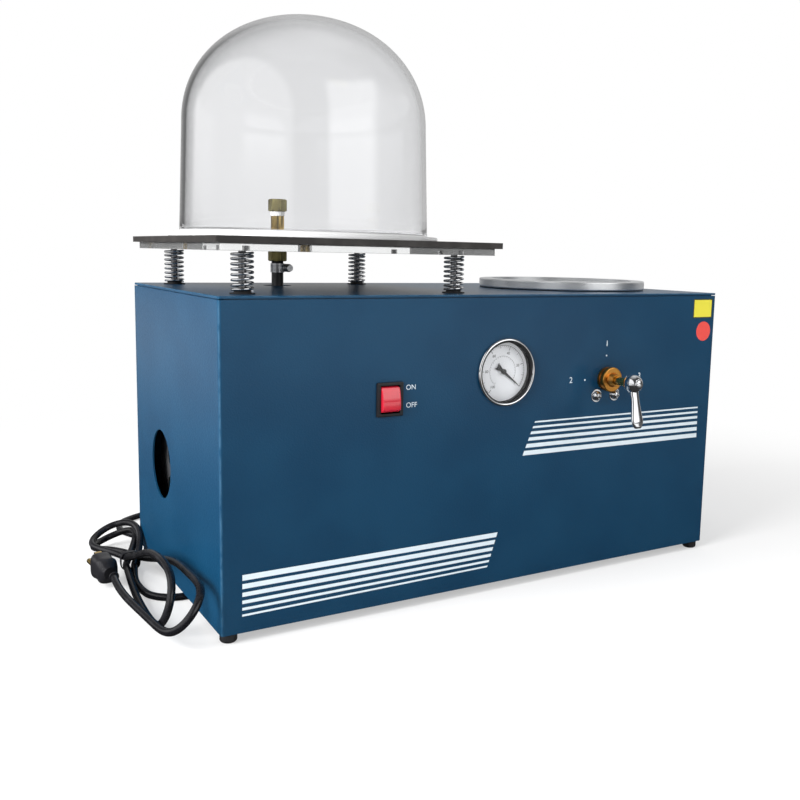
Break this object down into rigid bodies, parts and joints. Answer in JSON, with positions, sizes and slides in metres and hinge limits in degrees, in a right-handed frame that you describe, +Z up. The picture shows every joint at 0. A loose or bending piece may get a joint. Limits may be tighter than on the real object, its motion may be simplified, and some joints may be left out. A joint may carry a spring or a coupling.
{
  "type": "jewelry vacuum casting machine",
  "caption": "Bench cabinet with a vacuum pump inside, a sprung vacuum table under a clear bell jar and a round casting chamber, with a dial gauge, rocker switch and lever valve on the front.",
  "frame": {"origin": "on the bench, under the middle of the cabinet", "axes": "+Z up; the front with the gauge, switch and valve faces -Y; +X to the right when seen from the front"},
  "size_m": [0.5924, 0.4268, 0.515],
  "materials": {
    "cabinet_paint": "dark steel-blue powder coat with a fine orange-peel texture",
    "zinc_steel": "zinc-plated steel",
    "spring_steel": "bright nickel-plated spring wire",
    "black_rubber": "matt black rubber",
    "clear_acrylic": "clear acrylic plate with polished edges",
    "jar_clear": "clear moulded polycarbonate",
    "lens_glass": "clear glass",
    "brass": "machined brass",
    "machined_aluminium": "turned aluminium with fine circular marks",
    "chrome": "polished chrome",
    "dark_metal": "satin black paint",
    "dial_white": "matt off-white dial",
    "black_plastic": "satin black moulding",
    "red_plastic": "glossy translucent-looking red moulding",
    "cast_housing": "painted casting",
    "cord_black": "black flexible cord and moulded plug"
  },
  "bodies": {
    "cabinet": {"cabinet_wrap": "cabinet_paint", "top_plate": "cabinet_paint", "base_plate": "cabinet_paint", "back_panel": "cabinet_paint", "cabinet_screws": "zinc_steel", "rubber_feet": "black_rubber", "spring_seats": "black_rubber", "casting_ring": "machined_aluminium", "ring_gasket": "black_rubber", "casting_chamber": "machined_aluminium", "chamber_port": "brass", "ring_screws": "zinc_steel", "gauge_case": "dark_metal", "gauge_bezel": "chrome", "gauge_lens": "lens_glass", "gauge_dial": "dial_white", "gauge_movement": "brass", "gauge_tee": "brass", "switch_frame": "black_plastic", "valve_body": "brass", "valve_nut": "brass", "valve_bracket": "zinc_steel", "valve_screws": "chrome", "pump_isolators": "black_rubber", "pump_rail": "dark_metal", "oil_case": "cast_housing", "sight_glass": "lens_glass", "pump_fittings": "brass", "pump_head": "cast_housing", "motor_shell": "cast_housing", "motor_ends": "cast_housing", "motor_bearings": "zinc_steel", "fan_cowl": "dark_metal", "vacuum_hoses": "black_rubber", "strain_relief": "black_plastic", "cord_lead": "cord_black", "cord_hank": "cord_black", "cord_tie": "cord_black", "plug_body": "cord_black", "plug_pins": "brass"},
    "table": {"table_plate": "clear_acrylic", "table_pad": "black_rubber", "guide_studs": "zinc_steel", "stud_nuts": "zinc_steel", "spring_front_left": "spring_steel", "spring_front_right": "spring_steel", "spring_back_left": "spring_steel", "spring_back_right": "spring_steel", "vacuum_nozzle": "brass", "nozzle_cap": "brass", "nozzle_nut": "brass", "hose_clamp": "zinc_steel", "table_hose": "black_rubber"},
    "jar": {"bell_jar": "jar_clear"},
    "lever": {"valve_spindle": "brass", "valve_lever": "chrome"},
    "rocker": {"switch_rocker": "red_plastic"},
    "needle": {"gauge_needle": "dark_metal"},
    "motor": {"motor_shaft": "zinc_steel", "motor_fan": "black_plastic"}
  },
  "joints": [
    {"name": "table_slide", "type": "slide", "parent": "cabinet", "child": "table", "axis": [0, 0, 1], "range_m": [-0.01, 0], "stiffness_N_per_m": 8000, "springref_m": 0.004, "deforming": ["spring_front_left", "spring_front_right", "spring_back_left", "spring_back_right", "table_hose"]},
    {"name": "jar_lift", "type": "slide", "parent": "table", "child": "jar", "axis": [0, 0, 1], "range_m": [0, 0.25]},
    {"name": "valve_lever_turn", "type": "hinge", "parent": "cabinet", "child": "lever", "pos_m": [0.119, -0.132, 0.192], "axis": [0, -1, 0], "continuous": true},
    {"name": "rocker_tilt", "type": "hinge", "parent": "cabinet", "child": "rocker", "pos_m": [-0.119, -0.129, 0.187], "axis": [1, 0, 0], "range_deg": [0, 16]},
    {"name": "gauge_needle_turn", "type": "hinge", "parent": "cabinet", "child": "needle", "pos_m": [0, -0.132, 0.204], "axis": [0, -1, 0], "range_deg": [0, 270], "stiffness_Nm_per_rad": 0.0005, "springref_deg": -17.19},
    {"name": "motor_shaft_spin", "type": "hinge", "parent": "cabinet", "child": "motor", "pos_m": [0, 0.041, 0.088], "axis": [1, 0, 0], "continuous": true}
  ]
}
